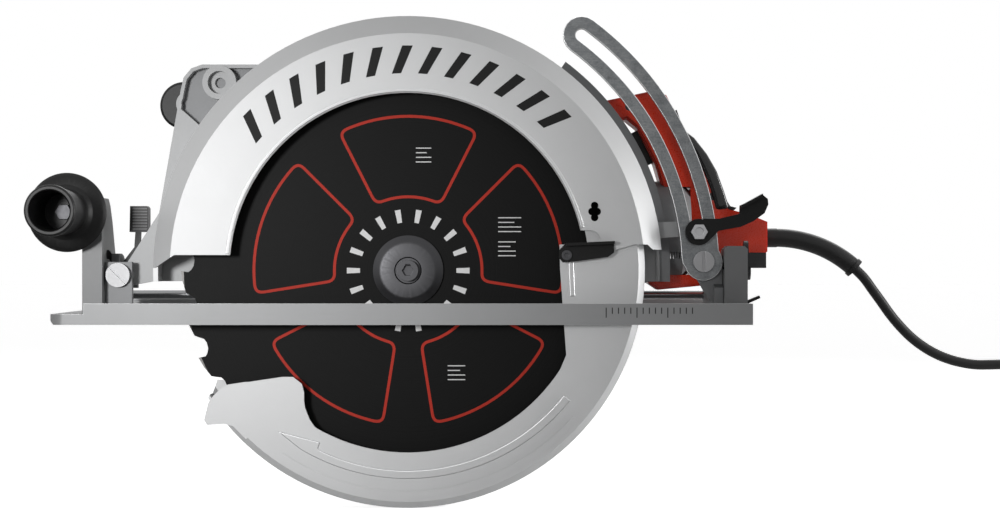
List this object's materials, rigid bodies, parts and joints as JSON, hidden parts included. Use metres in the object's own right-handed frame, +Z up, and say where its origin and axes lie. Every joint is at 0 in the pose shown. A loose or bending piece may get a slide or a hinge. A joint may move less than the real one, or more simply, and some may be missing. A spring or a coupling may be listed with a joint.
{
  "type": "worm drive circular saw",
  "caption": "Worm drive circular saw with a large blade, swinging lower guard, bevel foot, slotted depth arm, D handle and coiled mains lead.",
  "frame": {"origin": "on the sole of the foot, under the arbor, at the middle of the foot's width", "axes": "+X to the rear of the saw, +Z up, +Y from the blade side to the motor side"},
  "size_m": [1.1243, 0.33, 0.4462],
  "materials": {
    "guard_casting": "satin cast",
    "foot_casting": "satin cast",
    "grey_casting": "cast, slightly dull",
    "case_casting": "cast",
    "dark_housing": "fine texture",
    "red_plastic": "glossy moulded",
    "black_rubber": "soft matt",
    "black_lever": "powder coated",
    "black_plastic": "moulded",
    "raw_steel": "mottled raw steel",
    "bright_steel": "plated",
    "dark_steel": "oiled",
    "blade_coating": "black coated",
    "bronze": "machined",
    "copper": "machined",
    "lamination": "stacked",
    "cord_rubber": "matt",
    "tie_plastic": "moulded"
  },
  "bodies": {
    "foot": {"foot_plate": "foot_casting", "front_upright": "foot_casting", "rear_upright": "foot_casting", "upright_screws": "dark_steel", "front_grip": "black_rubber", "front_grip_bolt": "dark_steel"},
    "rip_lever": {"rip_clamp_lever": "black_lever"},
    "tilt_frame": {"front_tilt_bracket": "grey_casting", "rear_tilt_bracket": "grey_casting", "tie_rod": "bright_steel", "tilt_pins": "bright_steel", "bevel_clamp_bolts": "dark_steel", "depth_pivot_screw": "bright_steel", "arm_pin_screw": "bright_steel"},
    "front_lever": {"front_bevel_lever": "black_lever"},
    "rear_lever": {"rear_bevel_lever": "black_lever"},
    "slotted_arm": {"depth_arm": "raw_steel"},
    "saw_body": {"upper_guard": "guard_casting", "gear_case": "case_casting", "gear_case_cover": "case_casting", "gear_case_screws": "dark_steel", "motor_housing": "dark_housing", "motor_end_cap": "dark_housing", "handle_left": "red_plastic", "handle_right": "red_plastic", "grip_overmould": "black_rubber", "handle_screws": "dark_steel", "switch_body": "black_plastic", "top_grip": "black_rubber", "top_grip_bolt": "dark_steel", "spindle_bearings": "bright_steel", "armature_bearings": "bright_steel", "field_core": "lamination", "brush_caps": "black_plastic", "oil_plug": "dark_steel", "depth_bolt": "bright_steel", "guard_retainer": "dark_steel", "guard_spring": "dark_steel", "strain_relief": "cord_rubber", "cord": "cord_rubber", "cord_coil": "cord_rubber", "cord_tie": "tie_plastic", "plug": "cord_rubber"},
    "depth_lever": {"depth_lever": "black_lever"},
    "trigger": {"trigger": "black_plastic"},
    "lock_button": {"spindle_lock": "black_plastic"},
    "swing_guard": {"lower_guard": "guard_casting", "lift_lever": "black_lever", "lift_lever_screw": "dark_steel"},
    "blade_shaft": {"spindle": "bright_steel", "worm_wheel": "bronze", "inner_flange": "bright_steel", "blade": "blade_coating", "outer_flange": "dark_steel", "blade_bolt": "dark_steel"},
    "armature": {"armature_shaft": "bright_steel", "armature_core": "lamination", "commutator": "copper", "cooling_fan": "black_plastic"}
  },
  "joints": [
    {"name": "bevel", "type": "hinge", "parent": "foot", "child": "tilt_frame", "pos_m": [0, -0.082, 0.01], "axis": [1, 0, 0], "range_deg": [0, 45]},
    {"name": "depth", "type": "hinge", "parent": "tilt_frame", "child": "saw_body", "pos_m": [-0.2615, -0.082, 0.0443], "axis": [0, -1, 0], "range_deg": [0, 22.5]},
    {"name": "arm_swing", "type": "hinge", "parent": "tilt_frame", "child": "slotted_arm", "pos_m": [0.2686, -0.087, 0.0565], "axis": [0, -1, 0], "range_deg": [-13.5, 0]},
    {"name": "front_lever_turn", "type": "hinge", "parent": "tilt_frame", "child": "front_lever", "pos_m": [-0.263, -0.04723, 0.05], "axis": [-1, 0, 0], "range_deg": [0, 60]},
    {"name": "rear_lever_turn", "type": "hinge", "parent": "tilt_frame", "child": "rear_lever", "pos_m": [0.311, -0.06025, 0.04767], "axis": [-1, 0, 0], "range_deg": [0, 60]},
    {"name": "rip_lever_turn", "type": "hinge", "parent": "foot", "child": "rip_lever", "pos_m": [0.298, 0.02, 0.01], "axis": [0, 0, 1], "range_deg": [-60, 60]},
    {"name": "depth_lever_turn", "type": "hinge", "parent": "saw_body", "child": "depth_lever", "pos_m": [0.2638, -0.094, 0.0834], "axis": [0, -1, 0], "range_deg": [0, 45]},
    {"name": "trigger_pull", "type": "slide", "parent": "saw_body", "child": "trigger", "axis": [0.9063, 0, 0.4226], "range_m": [0, 0.006], "stiffness_N_per_m": 800, "springref_m": -0.003},
    {"name": "lock_press", "type": "slide", "parent": "saw_body", "child": "lock_button", "axis": [0, 0, -1], "range_m": [0, 0.003], "stiffness_N_per_m": 600, "springref_m": -0.003},
    {"name": "guard_swing", "type": "hinge", "parent": "saw_body", "child": "swing_guard", "pos_m": [0, -0.082, 0.0484], "axis": [0, -1, 0], "range_deg": [0, 130], "stiffness_Nm_per_rad": 0.4, "springref_deg": -85.94},
    {"name": "blade_spin", "type": "hinge", "parent": "saw_body", "child": "blade_shaft", "pos_m": [0, -0.082, 0.0484], "axis": [0, 1, 0], "continuous": true},
    {"name": "armature_spin", "type": "hinge", "parent": "saw_body", "child": "armature", "pos_m": [0.1, -0.006, 0.0854], "axis": [1, 0, 0], "continuous": true}
  ],
  "couplings": [
    {"joint": "arm_swing", "follows": "depth", "ratio": -0.595},
    {"joint": "armature_spin", "follows": "blade_spin", "ratio": -8}
  ]
}
